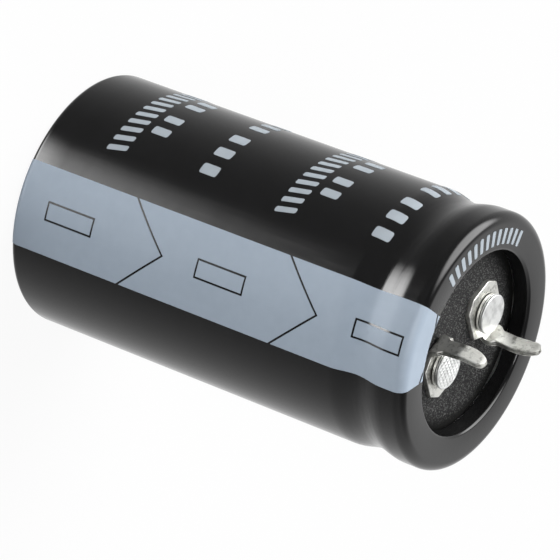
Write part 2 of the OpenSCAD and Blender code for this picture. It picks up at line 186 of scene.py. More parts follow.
# %% [markdown]
# The sleeve is a tube of film that heat has shrunk: it is turned in under the closed end and goes down
# inside the opening. Nobody trims it there, so both cut edges wander, and in one stretch of the opening the
# free edge curls away from the can. A cloth simulation could shrink it, but a sum of a few sines gives the
# same wander and is easier to steer. It grows from nothing at the bend to its full size at the cut.

# %% Sleeve
SKIRT_Z = SEAL_Z + 0.25
CURL_AT, CURL_WIDTH, CURL_LEAN, CURL_RISE = 22, 16.0, 0.34, 0.2


def wander(azimuths, *waves):
    """Sum of sines round the axis: each wave is (turns, size in mm, phase)."""
    a = np.radians(azimuths)
    return sum(size * np.sin(turns * a + phase) for turns, size, phase in waves)


def sleeve_grid(azimuths):
    """The sleeve's closed wall line carried round the axis, with both cut edges shifted by their wander."""
    flap = np.stack([np.linspace(BODY_R - SLEEVE_TURN, BODY_R - BOTTOM_R, 7)[:-1], np.zeros(6)], 1)
    inside = np.stack([np.full(9, OPEN_R), np.linspace(BODY_H - LIP_R, SKIRT_Z, 9)], 1)[1:]
    outer = np.concatenate([flap, body_line(), lip_line()[1:], inside])
    tangent = unit_tangent(outer)
    inner = outer + SLEEVE_WALL * np.stack([-tangent[:, 1], tangent[:, 0]], 1)
    line = np.concatenate([outer, inner[::-1]])
    low = np.clip((BODY_R - BOTTOM_R - line[:, 0]) / (SLEEVE_TURN - BOTTOM_R), 0, 1) * (line[:, 1] < 1)
    opening = (line[:, 0] < OPEN_R + 0.3) & (line[:, 1] > GROOVE_Z)
    deep = np.clip((BODY_H - LIP_R - line[:, 1]) / (BODY_H - LIP_R - SKIRT_Z), 0, 1) * opening
    curl = np.exp(-((azimuths - CURL_AT) / CURL_WIDTH) ** 2)
    flutter = np.abs(wander(azimuths, (11, 0.05, 0.4), (23, 0.03, 1.9)))
    lean = 0.03 + CURL_LEAN * curl + flutter * (0.4 + 2 * curl)
    rise = wander(azimuths, (5, 0.07, 0.7), (9, 0.05, 2.1), (17, 0.03, 0.0)) + CURL_RISE * curl
    pull = wander(azimuths, (3, 0.16, 0.3), (7, 0.1, 1.1), (16, 0.04, 2.0))
    r = line[:, 0] + low * pull[:, None] - deep ** 2 * lean[:, None]
    z = line[:, 1] + deep * rise[:, None]
    a = np.radians(azimuths)[:, None]
    return np.stack([r * np.cos(a), r * np.sin(a), z], -1)


film_grid = sleeve_grid(np.arange(-180, 180, 1.0))
piece("sleeve_film", film_grid, grid_faces(*film_grid.shape[:2], True, True), "sleeve")

# %% [markdown]
# The print lies on the film as a thin layer. It is a grid that follows the film, with the cells of the bare
# lines left out: a mask says which cells are inked, and walls are drawn where an inked cell meets a bare
# one. Heights are measured along the film, so that the pattern keeps its spacing over the groove and the
# rim, as a pattern printed on flat film does. On the straight wall they equal the height over the closed
# end.

# %% Printed layers
INK = 0.03
LEVEL_Z = 12.8

print_line = np.concatenate([body_line(foot=-50.0), lip_line(end=150.0)[1:]])
print_tangent = unit_tangent(print_line)
from_foot = np.concatenate([[0], np.cumsum(np.linalg.norm(np.diff(print_line, axis=0), axis=1))])
film_at = from_foot - np.interp(LEVEL_Z, print_line[:, 1], from_foot) + LEVEL_Z
print("film from foot to lip in mm:", round(from_foot[-1], 2), "long, its end at", round(film_at[-1], 2))


def on_film(azimuth, length, lift):
    """Point on the film at an azimuth and a length along it, moved out by lift along the line's normal."""
    r, z = (np.interp(length, film_at, print_line[:, k]) for k in (0, 1))
    tr, tz = (np.interp(length, film_at, print_tangent[:, k]) for k in (0, 1))
    r, z = r + lift * tz, z - lift * tr
    a = np.radians(azimuth)
    return np.stack([r * np.cos(a), r * np.sin(a), z], -1)


def masked_layer(azimuth, length, mask):
    """Closed thin layer over the masked cells of a grid: top, bottom, and walls round each island."""
    rows, columns = azimuth.shape
    top, bottom = on_film(azimuth, length, INK), on_film(azimuth, length, -INK)
    points = np.concatenate([top.reshape(-1, 3), bottom.reshape(-1, 3)])
    quads = grid_faces(rows, columns)
    keep = quads[mask.reshape(-1)]
    under = keep[:, ::-1] + rows * columns
    edges = np.concatenate([keep[:, [k, (k + 1) % 4]] for k in range(4)])
    key = edges[:, 0] * (rows * columns) + edges[:, 1]
    back = edges[:, 1] * (rows * columns) + edges[:, 0]
    rim = edges[~np.isin(key, back)]
    walls = np.stack([rim[:, 1], rim[:, 0], rim[:, 0] + rows * columns, rim[:, 1] + rows * columns], 1)
    faces = np.concatenate([keep, under, walls])
    used, faces = np.unique(faces, return_inverse=True)
    return points[used], faces.reshape(-1, 4)


# %% [markdown]
# The polarity stripe carries arrow lines and minus signs that point to the negative pin. Cutting them out
# with booleans would leave ragged faces on a curved layer, so the grid itself follows them. Level lines
# across the stripe bound its bands: each is a height along the film for every azimuth, straight for a minus
# sign and bent for an arrow.

# %% Bands of the polarity stripe
STRIPE_ANGLE, STRIPE_TURN, STRIPE_LINES = 39.0, -3.1, 79
PITCH, LINE_W = 17.5, 0.2
ARROW_Z, ARROW_RISE = 12.8, 4.5
LAST_ARROW_DROP, LAST_ARROW_RISE = 0.8, 1.5
MINUS_Z, MINUS_L, MINUS_W, MINUS_SHIFT = 6.4, 5.35, 1.75, -0.5

half_turn = np.degrees(MINUS_W / 2 / BODY_R)
line_turn = np.degrees(LINE_W / 2 / BODY_R)
minus_turns = MINUS_SHIFT + np.array([-half_turn - line_turn, -half_turn + line_turn,
                                      half_turn - line_turn, half_turn + line_turn])
even_turns = np.linspace(-STRIPE_ANGLE / 2, STRIPE_ANGLE / 2, STRIPE_LINES)
turns = np.unique(np.concatenate([even_turns, minus_turns]))
off_middle = np.abs(turns) / (STRIPE_ANGLE / 2)


def arrow_level(index):
    """Height of an arrow line along the film: its tip over the middle, falling evenly to both edges."""
    if index < 2:
        return ARROW_Z + index * PITCH + ARROW_RISE * (1 - off_middle)
    return film_at[-1] - LAST_ARROW_DROP + LAST_ARROW_RISE * (1 - off_middle)


slope = np.hypot(1, ARROW_RISE / (BODY_R * np.radians(STRIPE_ANGLE / 2)))
levels, kinds = [np.full(len(turns), film_at[0])], []
for k in range(3):
    middle = MINUS_Z + k * PITCH
    for edge, kind in ((-MINUS_L / 2 - LINE_W / 2, "ink"), (-MINUS_L / 2 + LINE_W / 2, "end"),
                       (MINUS_L / 2 - LINE_W / 2, "sides"), (MINUS_L / 2 + LINE_W / 2, "end")):
        levels.append(np.full(len(turns), middle + edge))
        kinds.append(kind)
    levels += [arrow_level(k) - LINE_W / 2 * slope, arrow_level(k) + LINE_W / 2 * slope]
    kinds += ["ink", "bare"]
levels.append(np.full(len(turns), film_at[-1]))
kinds.append("ink")
levels = np.minimum(np.array(levels), film_at[-1])
print("bands:", len(kinds))

# %% [markdown]
# Each band is cut into rows of cells that are small enough to bend over the groove. What a cell is follows
# from its band and from its place across the stripe. Cells that the end of the film has squeezed to nothing
# are left out, because they would make a mesh with no inside.

# %% Cells of the polarity stripe
ROW_STEP, LEAST_CELL = 0.25, 0.004

rows, cell_kind = [], []
for low, high, kind in zip(levels[:-1], levels[1:], kinds):
    steps = max(1, int(np.ceil((high - low).max() / ROW_STEP)))
    t = np.arange(steps)[:, None] / steps
    rows.append(low + (high - low) * t)
    cell_kind += [kind] * steps
rows = np.concatenate(rows + [levels[-1:]])
centre_turn = (turns[:-1] + turns[1:]) / 2
in_frame = (centre_turn > minus_turns[0]) & (centre_turn < minus_turns[3])
in_sides = in_frame & ((centre_turn < minus_turns[1]) | (centre_turn > minus_turns[2]))
inked = {"ink": np.ones_like(in_frame), "bare": np.zeros_like(in_frame), "end": ~in_frame, "sides": ~in_sides}
mask = np.array([inked[kind] for kind in cell_kind])
heights = np.diff(rows, axis=0)
mask &= np.minimum(heights[:, :-1], heights[:, 1:]) > LEAST_CELL
points, quads = masked_layer(np.tile(turns + STRIPE_TURN, (len(rows), 1)), rows, mask)
piece("polarity_stripe", points, quads, "negative_stripe")

# %% [markdown]
# The printed rows beside the stripe are plain bars, laid on the film by the same formula. Each bar is a
# small grid of its own, whose width falls off at both ends and so rounds its corners, as the edge of a
# printed field does.

# %% Printed bars
BAR_END = 0.4
BAR_FILL, BOLD, LIGHT, WIDE = 0.5, 5.5, 9.2, 11.0
MARKS_PITCH = 19.4
SIDE_ROWS = [  # bars in the row, azimuth of the first, degrees from bar to bar, foot, head, lean in degrees
    (13, -38, BOLD, 7.0, 9.1, 2.2),
    (2, -53.5, LIGHT, 9.9, 11.8, 0),
    (2, -78, LIGHT, 9.9, 11.8, 0),
    (3, -43, WIDE, 17.1, 19.0, 0),
    (4, -80, LIGHT, 17.1, 19.0, 0),
]
RIM_ROW = (13, -40, BOLD, 46.05, 47.6, 0)


def bar(azimuth, width, low, high, lean):
    """Grid of one leaning bar, whose width falls by a root of 1 - t**16 to a share at both ends."""
    v = (1 - np.cos(np.linspace(0, np.pi, 15)))[:, None] / 2
    u = np.linspace(-0.5, 0.5, 5)[None, :]
    full = (1 - np.abs(2 * v - 1) ** 16) ** 0.5 * (1 - BAR_END) + BAR_END
    return azimuth - width / 2 - width * full * u - lean * v, low + (high - low) * v + 0 * u


def bar_rows():
    """Azimuth, width, foot, head and lean of every bar: two blocks on the side, and a row on the rim."""
    blocks = [(row, lift) for lift in (0, MARKS_PITCH) for row in SIDE_ROWS]
    for (count, start, step, low, high, lean), lift in blocks + [(RIM_ROW, 0)]:
        yield from ((start - i * step, BAR_FILL * step, lift + low, lift + high, lean) for i in range(count))


mark_points, mark_quads, start = [], [], 0
for azimuth, width, low, high, lean in bar_rows():
    turn, height = bar(azimuth, width, low, high, lean)
    points, quads = masked_layer(turn, height, np.ones((turn.shape[0] - 1, turn.shape[1] - 1), bool))
    mark_points.append(points)
    mark_quads.append(quads + start)
    start += len(points)
piece("printed_bars", np.concatenate(mark_points), np.concatenate(mark_quads), "label_marks")

# %% [markdown]
# The two terminals are alike, and one is the other, turned by half a turn round the axis. Each is made in a
# frame of its own, with the rivet at 0 and the pin along +x, and then carried to its place.

# %% Places of rivets and pins
RIVET_PLACE, RIVET_TURN = 3.85, 38
PIN_T, PIN_BEND = 0.68, 0.4
RIVET = RIVET_PLACE * np.array([np.cos(np.radians(RIVET_TURN)), np.sin(np.radians(RIVET_TURN))])
PIN = np.array([5.0, 0.0])
REACH, HEADING = float(np.linalg.norm(PIN - RIVET)), float(np.arctan2(*(PIN - RIVET)[::-1]))
FRONT = REACH - PIN_T / 2 - PIN_BEND
print("pin stands", round(REACH, 3), "mm from its rivet, at", round(np.degrees(HEADING), 2), "degrees")


def to_part(points, side, heading=HEADING):
    """From a terminal's own frame to the part's; side is 1 for the negative one and -1 for the other."""
    x, y, z = np.moveaxis(np.asarray(points), -1, 0)
    c, s = np.cos(heading), np.sin(heading)
    return np.stack([side * (x * c - y * s + RIVET[0]), side * (x * s + y * c + RIVET[1]), z], -1)


# %% [markdown]
# Each terminal is stamped from sheet: a base plate with cut corners, from which the pin is bent up. The
# plate is described by its reach from the rivet in every direction. A soft minimum over the eight sides of
# the outline gives that reach and rounds the corners, as a worn punch does, and quarter circles round the
# outer edges.

# %% Terminal plates
PLATE_T, PLATE_BACK, PLATE_HALF, PLATE_CUT, PLATE_FRONT = 0.5, 2.95, 2.42, 1.1, 1.5
FOOT_HALF, FOOT_OVERLAP = 1.1, 0.08
CORNER_POWER = 90


def plate_reach(angles):
    """Distance r from the rivet to the plate's edge.

    1/r is the 90-norm, over the sides, of cos(angle to the side's normal) / (distance of the side).
    """
    back, cut = [-PLATE_BACK, PLATE_CUT - PLATE_HALF], [PLATE_CUT - PLATE_BACK, -PLATE_HALF]
    half = np.array([back, cut, [PLATE_FRONT, -PLATE_HALF], [FRONT + FOOT_OVERLAP, -FOOT_HALF]])
    corners = np.concatenate([half, half[::-1] * [1, -1]])
    normal = (np.roll(corners, -1, 0) - corners) @ np.array([[0, -1], [1, 0]])
    normal /= np.linalg.norm(normal, axis=1)[:, None]
    facing = np.stack([np.cos(angles), np.sin(angles)], -1) @ normal.T
    norm = (np.clip(facing / (normal * corners).sum(1), 0, None) ** CORNER_POWER).sum(-1)
    return norm ** (-1 / CORNER_POWER)


def soft_plate(inner, outer, low, high, edge, gap):
    """Closed ring between two outlines over the angle: outer edges rounded, lower one over a gap."""
    t = np.radians(np.linspace(-90, 0, 5))
    inset, rise = edge * (1 - np.cos(t)), edge * (1 + np.sin(t))
    flat = outer - edge - 0.04
    foot = flat - 3 * gap
    r = [inner, foot, foot, flat, *(outer - d for d in inset), *(outer - d for d in inset[::-1]), flat, inner]
    z = [low, low, low + gap, low + gap, *(low + gap + rise), *(high - rise[::-1]), high, high]
    turn = np.linspace(-np.pi, np.pi, len(outer) + 1)[:-1]
    return np.stack([np.stack([a * np.cos(turn), a * np.sin(turn), b + 0 * turn], -1) for a, b in zip(r, z)])


# %% [markdown]
# The pin is the same strip of metal, folded double and bent up. Its side view is two lines, the inner and
# the outer face: a bend, a leg that leans out to the knee that holds it in a board, and an end that leans
# back. Its section is a rectangle with rounded corners and, along each edge, the two fine grooves where the
# fold closes. The end narrows to one side, is coined thinner, and has a shallow dish on its inner face. No
# two pins are bent alike: each leans sideways by a little, and one ends slightly lower. The strip could be
# bent with a modifier, but two lines give the true thickness at the bend.

# %% Side and width of a pin
TIP_Z, BEND_Z = 49.1, SEAL_Z + PLATE_T + PIN_BEND
KNEE_Z = BEND_Z + (TIP_Z - BEND_Z) * 0.48
LEAN_OUT, LEAN_BACK, KNEE_SOFT = 0.2, 0.4, 0.12
COINED, COINED_L = 0.13, 0.5
PIN_HALF, NECK_RISE, NECK_L = 0.75, 0.2, 0.6
SHORT_END, LONG_END = (0.8, 2.4), (1.6, 1.6)  # length and power of the narrowing along each edge


def pin_lines(end):
    """Inner and outer face of the pin as (distance from the rivet, height), from the plate to its end."""
    a = np.radians(np.linspace(-90, 0, 17))
    inner_bend = np.stack([FRONT + PIN_BEND * np.cos(a), BEND_Z + PIN_BEND * np.sin(a)], 1)
    outer_bend = np.stack([FRONT + (PIN_BEND + PIN_T) * np.cos(a), BEND_Z + (BEND_Z - SEAL_Z) * np.sin(a)], 1)
    length = LONG_END[0]
    tip = length * np.sin(np.radians(np.linspace(0, 83, 30)))
    z = np.concatenate([np.linspace(BEND_Z + 0.1, end - length - 0.1, 34), end - length + tip])
    out, back = LEAN_OUT / (KNEE_Z - BEND_Z), -LEAN_BACK / (TIP_Z - KNEE_Z)
    soft_corner = KNEE_SOFT * np.logaddexp(0, (z - KNEE_Z) / KNEE_SOFT)
    x = FRONT + PIN_BEND + out * (z - BEND_Z) + (back - out) * soft_corner
    thin = COINED * np.clip((z - end + COINED_L) / COINED_L, 0, 1) ** 2
    lead = [(FRONT - 0.35, 0.02), (FRONT - 0.05, 0.02)]
    inner = np.concatenate([[(at, SEAL_Z + PLATE_T - d) for at, d in lead], inner_bend,
                            np.stack([x + thin, z], 1)])
    outer = np.concatenate([[(at, SEAL_Z + d) for at, d in lead], outer_bend,
                            np.stack([x + PIN_T - thin, z], 1)])
    return inner, outer


def pin_half(z, end, length, power):
    """Half the width at height z: wide foot, soft step to the leg, and a superellipse end."""
    t = np.clip((z - BEND_Z - NECK_RISE) / NECK_L, 0, 1)
    leg = FOOT_HALF + (PIN_HALF - FOOT_HALF) * t * t * (3 - 2 * t)
    u = np.clip((z - end + length) / length, 0, 1)
    return leg * (1 - u ** power) ** (1 / power)


# %% [markdown]
# The section is a list of places round the strip. Each says where it lies from the inner to the outer face,
# and where from one edge to the other. The grid then sets these places between the two side lines at every
# height, so the grooves can fade out at the bend and near the end.

# %% Section and surface of a pin
CORNER, FOLD_GROOVE, FOLD_AT = 0.1, 0.2, (0.55, 0.57, 0.74, 0.76)
FOLD_RISE, FOLD_STOP, FOLD_FALL = 0.5, 0.2, 0.3
DISH, DISH_OFF, DISH_BELOW, DISH_WIDE, DISH_LONG = 0.1, 0.08, 0.75, 0.34, 0.5
LEAN_POWER = 1.4


def pin_section():
    """Places as (share across the thickness, mm in from there, share of the half width, mm in from there)."""
    t = np.radians(np.linspace(0, 90, 5))
    side = [(x, 0, d) for x, d in zip(FOLD_AT, (0, FOLD_GROOVE, FOLD_GROOVE, 0))]
    side += [(1, CORNER * (1 - np.sin(a)), CORNER * (1 - np.cos(a))) for a in t]
    face = [(1, 0, w, CORNER) for w in np.linspace(-1, 1, 19)[1:-1]]
    outer = [(x, i, -1, d) for x, i, d in side] + face + [(x, i, 1, d) for x, i, d in side[::-1]]
    inner = [(1 - x, -i, w, d) for x, i, w, d in outer[::-1]]
    return np.array(outer + inner)


def pin_grid(end, lean):
    """Points of the pin between its side lines, leaning to the side, and a mask of its fold grooves for
    painted shade.
    """
    inner, outer = pin_lines(end)
    section = pin_section()
    across = (outer - inner) / np.linalg.norm(outer - inner, axis=1)[:, None]
    middle = (inner[:, 1] + outer[:, 1]) / 2
    short, long = pin_half(middle, end, *SHORT_END), pin_half(middle, end, *LONG_END)
    half = np.where(section[None, :, 2] > 0, short[:, None], long[:, None])
    fold = np.clip((middle - BEND_Z) / FOLD_RISE, 0, 1)
    fold = fold * np.clip((end - FOLD_STOP - middle) / FOLD_FALL, 0, 1)
    on_edge = (section[:, 1] == 0) & (np.abs(section[:, 2]) == 1)
    y = section[:, 2] * (half - np.where(on_edge, fold[:, None], 1.0) * section[:, 3])
    point = inner[:, None] + (outer - inner)[:, None] * section[:, 0][None, :, None]
    point -= across[:, None] * section[:, 1][None, :, None]
    below = point[..., 1] - end + DISH_BELOW
    dish = DISH * np.exp(-((y - DISH_OFF) / DISH_WIDE) ** 2 - (below / DISH_LONG) ** 2)
    point += across[:, None] * (dish * (section[:, 0] == 0) * (np.abs(section[:, 2]) < 1))[..., None]
    y = y + lean * (np.clip(middle - BEND_Z, 0, None) / (TIP_Z - BEND_Z))[:, None] ** LEAN_POWER
    return np.stack([point[..., 0], y, point[..., 1]], -1), fold[:, None] * (section[:, 3] == FOLD_GROOVE)


def closed_tube(grid):
    """Quads of a tube of rings, with a ladder lid at each end."""
    rows, columns = grid.shape[:2]
    first, last = np.arange(columns), (rows - 1) * columns + np.arange(columns)
    return np.concatenate([grid_faces(rows, columns, False, True), ladder(first), ladder(last)[:, ::-1]])


# %% [markdown]
# Plate and pin are two closed shells in one mesh: the pin starts inside the plate, where its first ring is
# hidden.

# %% Terminals
SHANK_R, FIT = 1.1, 0.03
PLATE_EDGE, PLATE_GAP = 0.07, 0.01
BENT = (("negative", 1, TIP_Z - 0.3, -0.2), ("positive", -1, TIP_Z, -0.08))  # side, height of the end, lean

angles = np.linspace(-np.pi, np.pi, 241)[:-1]
hole = np.full(len(angles), SHANK_R + FIT)
plate = soft_plate(hole, plate_reach(angles), SEAL_Z, SEAL_Z + PLATE_T, PLATE_EDGE, PLATE_GAP)
plate_points = plate.reshape(-1, 3)
plate_quads = outward(plate_points, grid_faces(*plate.shape[:2], True, True))
for name, side, end, lean in BENT:
    pin, groove_shade = pin_grid(end, lean)
    pin_points = pin.reshape(-1, 3)
    quads = np.concatenate([plate_quads, outward(pin_points, closed_tube(pin)) + len(plate_points)])
    points = to_part(np.concatenate([plate_points, pin_points]), side)
    # Mask of the fold grooves, where the material paints shade.
    mask = np.concatenate([np.zeros(len(plate_points)), groove_shade.reshape(-1)])
    piece(f"stamped_terminal_{name}", points, quads, f"terminal_{name}", mask)

# %% [markdown]
# A washer and the riveted head hold each terminal. The head is upset by a punch, so its face is slightly
# domed, its side shows a fine ring, and its rim stands clear of the washer; the punch for the negative one
# is waffled, and leaves crossing grooves. The face is a grid with relief, because a turned face could only
# carry rings.

# %% Washers and rivets
WASHER_T, WASHER_R, WASHER_EDGE, WASHER_GAP = 0.36, 1.9, 0.08, 0.12
HEAD_T, HEAD_R, DOME = 0.48, 1.96, 0.07
HEAD_Z, SHANK_Z = SEAL_Z + PLATE_T + WASHER_T, 40.8
FACE_Z = HEAD_Z + HEAD_T - 0.03
RING_DEEP, RING_MOUTH, RING_FLOOR = 0.13, 0.05, 0.03
UNDERCUT, LIFT = 0.4, 0.13
INNER_R, INNER_T, SOFT = 2.1, 0.6, 0.11
WAFFLE_PITCH, WAFFLE_DEEP, WAFFLE_POWER = 0.42, 0.05, 6
WASHER_STEPS = 160


def rivet_side():
    """Side line of a rivet from its face down: rounded head with a ring, shank, rounded inner head."""
    middle = HEAD_Z + HEAD_T / 2 + 0.04
    ring = [(HEAD_R, middle + RING_MOUTH), (HEAD_R - RING_DEEP, middle + RING_FLOOR),
            (HEAD_R - RING_DEEP, middle - RING_FLOOR), (HEAD_R, middle - RING_MOUTH)]
    under = [(HEAD_R - UNDERCUT, HEAD_Z + LIFT), (HEAD_R - UNDERCUT, HEAD_Z),
             (SHANK_R, HEAD_Z), (SHANK_R, SHANK_Z)]
    return np.concatenate([
        arc((HEAD_R - SOFT, FACE_Z - SOFT), SOFT, 90, 0, 7), ring,
        arc((HEAD_R - 0.05, HEAD_Z + LIFT + 0.05), 0.05, 0, -90, 4), under,
        arc((INNER_R - SOFT, SHANK_Z - SOFT), SOFT, 90, 0, 5),
        arc((INNER_R - SOFT, SHANK_Z - INNER_T + SOFT), SOFT, 0, -90, 5)])


def head_face(waffled):
    """Height of a head's face: a low dome, less a lattice of cosine-power grooves where it is waffled."""
    def height(x, y):
        dome = DOME * (1 - (x * x + y * y) / (HEAD_R - SOFT) ** 2)
        lattice = [np.cos(np.pi * (x + k * y) / (WAFFLE_PITCH * np.sqrt(2))) ** WAFFLE_POWER for k in (1, -1)]
        inside = np.clip((HEAD_R - SOFT - np.hypot(x, y)) / 0.1, 0, 1)
        return FACE_Z + dome - (WAFFLE_DEEP * np.maximum(*lattice) * inside if waffled else 0)
    return height


washer_hole, washer_rim = np.full(WASHER_STEPS, SHANK_R + FIT), np.full(WASHER_STEPS, WASHER_R)
washer = soft_plate(washer_hole, washer_rim, SEAL_Z + PLATE_T, HEAD_Z, WASHER_EDGE, WASHER_GAP)
washer_quads = grid_faces(*washer.shape[:2], True, True)
for name, side, cells in (("negative", 1, 110), ("positive", -1, 50)):
    piece(f"washer_ring_{name}", to_part(washer, side), washer_quads, f"washer_{name}")
    points, quads = lathe_with_relief(cells, head_face(name == "negative"), rivet_side())
    piece(f"upset_rivet_{name}", to_part(points, side, 0.0), quads, f"rivet_{name}")

# %% [markdown]
# The rubber facing is squeezed by everything that is pressed on it: it swells a little round both plates
# and along the rolled edge of the can, which bites a channel into it. Soft rubber could be simulated, but a
# bump that fades with the distance from each edge looks the same and never goes wrong.

# %% Rubber facing
RUBBER_T, RUBBER_R, FACE_R = 0.85, 11.97, 9.1
RIM_SWELL, RIM_FADE, PLATE_SWELL, PLATE_FADE = 0.08, 0.4, 0.06, 0.25
BITE, BITE_FROM, BITE_TO = 0.22, 9.25, 9.7


def rubber_height(x, y):
    """Face of the seal: flat, plus a bell of the distance from the rolled rim and from each plate."""
    swell = RIM_SWELL * np.exp(-((np.hypot(x, y) - FACE_R) / RIM_FADE) ** 2)
    for side in (1, -1):
        ax, ay = side * x - RIVET[0], side * y - RIVET[1]
        away = np.hypot(ax, ay) - plate_reach(np.arctan2(ay, ax) - HEADING)
        bell = np.exp(-(np.clip(away, 0, None) / PLATE_FADE) ** 2)
        swell = swell + PLATE_SWELL * bell * np.clip(1 + away / 0.05, 0, 1)
    return SEAL_Z + swell


rubber_side = np.array([(FACE_R, 0.0), (BITE_FROM - 0.05, SEAL_Z + 0.03), (BITE_FROM, SEAL_Z - BITE),
                        (BITE_TO, SEAL_Z - BITE), (BITE_TO + 0.05, SEAL_Z), (RUBBER_R, SEAL_Z),
                        (RUBBER_R, SEAL_Z - RUBBER_T)])
points, quads = lathe_with_relief(170, rubber_height, rubber_side)
piece("rubber_facing", points, quads, "seal_rubber")

# %% [markdown]
# A material starts from what the real thing is. One helper turns the hex value that a paint or film would
# be given by into the linear colour that the renderer works in, and one adds a node with its settings and
# links. All patterns read the object's own coordinates, in metres, so a noise scale of 1000 makes spots of
# about 1 mm.

# %% Material helpers
SMOOTH_STEP = {"interpolation_type": "SMOOTHSTEP"}


def linear(hex_value):
    """sRGB hex value to linear red, green, blue and alpha."""
    c = np.array([int(hex_value[k:k + 2], 16) for k in (0, 2, 4)]) / 255
    c = np.where(c <= 0.04045, c / 12.92, ((c + 0.055) / 1.055) ** 2.4)
    return (*c.tolist(), 1.0)


def add(tree, kind, settings=None, **links):
    """Adds a node with its settings, and fills each input from a value or another node's output."""
    node = tree.nodes.new(kind)
    for key, value in (settings or {}).items():
        setattr(node, key, value)
    for key, value in links.items():
        by_number = key[0] == "i" and key[1:].isdigit()
        socket = node.inputs[int(key[1:]) if by_number else key.replace("_", " ")]
        if isinstance(value, bpy.types.NodeSocket):
            tree.links.new(value, socket)
        else:
            socket.default_value = value
    return node


def new_material(name):
    """Empty material, its node tree, and the object's own coordinates as a socket of that tree."""
    material = bpy.data.materials.new(name)
    material.use_nodes = True
    tree = material.node_tree
    tree.nodes.clear()
    where = tree.nodes.new("ShaderNodeTexCoord").outputs["Object"]
    return material, tree, where


def finish_material(tree, shader):
    """Joins the shader to the material's output."""
    out = tree.nodes.new("ShaderNodeOutputMaterial")
    tree.links.new(shader.outputs[0], out.inputs["Surface"])


def painted_gap_shade(tree, where, colour, height):
    """Node whose colour is painted dark below a height in mm: painted shade in the gap under a pressed edge.
    """
    up = add(tree, "ShaderNodeSeparateXYZ", Vector=where)
    above = add(tree, "ShaderNodeMapRange", Value=up.outputs["Z"], From_Min=(height - 0.015) * MM,
                From_Max=height * MM)
    return add(tree, "ShaderNodeMix", {"data_type": "RGBA"}, i0=above.outputs[0], i6=linear("1C1C1A"),
               i7=colour)


def dress(material, *names):
    """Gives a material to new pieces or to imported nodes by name."""
    for name in names:
        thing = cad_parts.get(name) or bpy.data.objects[name]
        thing.data.materials.clear()
        thing.data.materials.append(material)
    print(material.name, "on", *names)


# %% [markdown]
# Black shrink film: a plastic film, stretched and shrunk. It is glossy, but its surface is never as true as
# moulded plastic, so reflections have soft edges and wander slightly. The fine grain is drawn out along the
# can, the way the film was stretched. Where it is pulled over the groove it puckers into low ripples that
# run round the can, and a reflection there breaks into streaks. Bump is enough for all three, because none
# of them shows in outline.

# %% Shrink film
PULLED_FROM, PULLED_TO = 3.0, 1.5  # mm over or under the groove

film, tree, where = new_material("black shrink film")
ripple = add(tree, "ShaderNodeTexNoise", Vector=where, Scale=400.0, Detail=2.0)
drawn = add(tree, "ShaderNodeMapping", Vector=where, Scale=(1.0, 1.0, 0.06))
grain = add(tree, "ShaderNodeTexNoise", Vector=drawn.outputs[0], Scale=2600.0, Detail=3.0)
round_can = add(tree, "ShaderNodeMapping", Vector=where, Scale=(0.1, 0.1, 1.0))
pucker = add(tree, "ShaderNodeTexNoise", Vector=round_can.outputs[0], Scale=2400.0, Detail=2.0)
level = add(tree, "ShaderNodeSeparateXYZ", Vector=where)
over_groove = add(tree, "ShaderNodeMath", {"operation": "SUBTRACT"}, i0=level.outputs["Z"], i1=GROOVE_Z * MM)
from_groove = add(tree, "ShaderNodeMath", {"operation": "ABSOLUTE"}, i0=over_groove.outputs[0])
pulled = add(tree, "ShaderNodeMapRange", SMOOTH_STEP, Value=from_groove.outputs[0],
             From_Min=PULLED_FROM * MM, From_Max=PULLED_TO * MM)
streak = add(tree, "ShaderNodeMath", {"operation": "MULTIPLY"}, i0=pucker.outputs["Fac"],
             i1=pulled.outputs[0])
waves = add(tree, "ShaderNodeBump", Height=ripple.outputs["Fac"], Strength=0.25, Distance=0.00002)
fine = add(tree, "ShaderNodeBump", Height=grain.outputs["Fac"], Strength=0.35, Distance=0.000006,
           Normal=waves.outputs[0])
bump = add(tree, "ShaderNodeBump", Height=streak.outputs[0], Strength=0.5, Distance=0.00005,
           Normal=fine.outputs[0])
rough = add(tree, "ShaderNodeMapRange", Value=grain.outputs["Fac"], To_Min=0.1, To_Max=0.19)
colour = add(tree, "ShaderNodeMix", {"data_type": "RGBA"}, i0=ripple.outputs["Fac"], i6=linear("070707"),
             i7=linear("101011"))
shader = add(tree, "ShaderNodeBsdfPrincipled", Base_Color=colour.outputs[2], Roughness=rough.outputs[0],
             IOR=1.5, Normal=bump.outputs[0])
finish_material(tree, shader)
dress(film, "sleeve_film")

# %% [markdown]
# Printing ink, blue-grey on the stripe and paler on the bars. It is a thin, even layer that dries less
# glossy than the film, so it keeps its colour where the film beside it mirrors the light. A faint mottle of
# two close shades keeps it from looking like paper.

# %% Printing ink
def ink_material(name, hex_low, hex_high):
    """Even ink with a faint mottle of two close shades."""
    material, tree, where = new_material(name)
    mottle = add(tree, "ShaderNodeTexNoise", Vector=where, Scale=900.0, Detail=4.0)
    colour = add(tree, "ShaderNodeMix", {"data_type": "RGBA"}, i0=mottle.outputs["Fac"], i6=linear(hex_low),
                 i7=linear(hex_high))
    bump = add(tree, "ShaderNodeBump", Height=mottle.outputs["Fac"], Strength=0.2, Distance=0.000008)
    shader = add(tree, "ShaderNodeBsdfPrincipled", Base_Color=colour.outputs[2], Roughness=0.45, IOR=1.5,
                 Normal=bump.outputs[0])
    finish_material(tree, shader)
    return material


dress(ink_material("blue-grey printing ink", "96A3B2", "A0ADBB"), "polarity_stripe")
dress(ink_material("pale printing ink", "98A1A9", "A6AEB5"), "printed_bars")

# %% [markdown]
# Tin-plated steel, stamped and bent: bright, with a fine drag of the die along the pins and grey stains
# where the soft tin was rubbed. Above a ragged line the pins' ends are rougher, because the die has coined
# them. Shade is painted dark into the fold grooves and into the gap under the washers. Metal takes its look
# from its colour and its roughness alone.

# %% Tinned steel
COINED_FROM, COINED_TO, RAGGED = 46.8, 47.4, 1.6


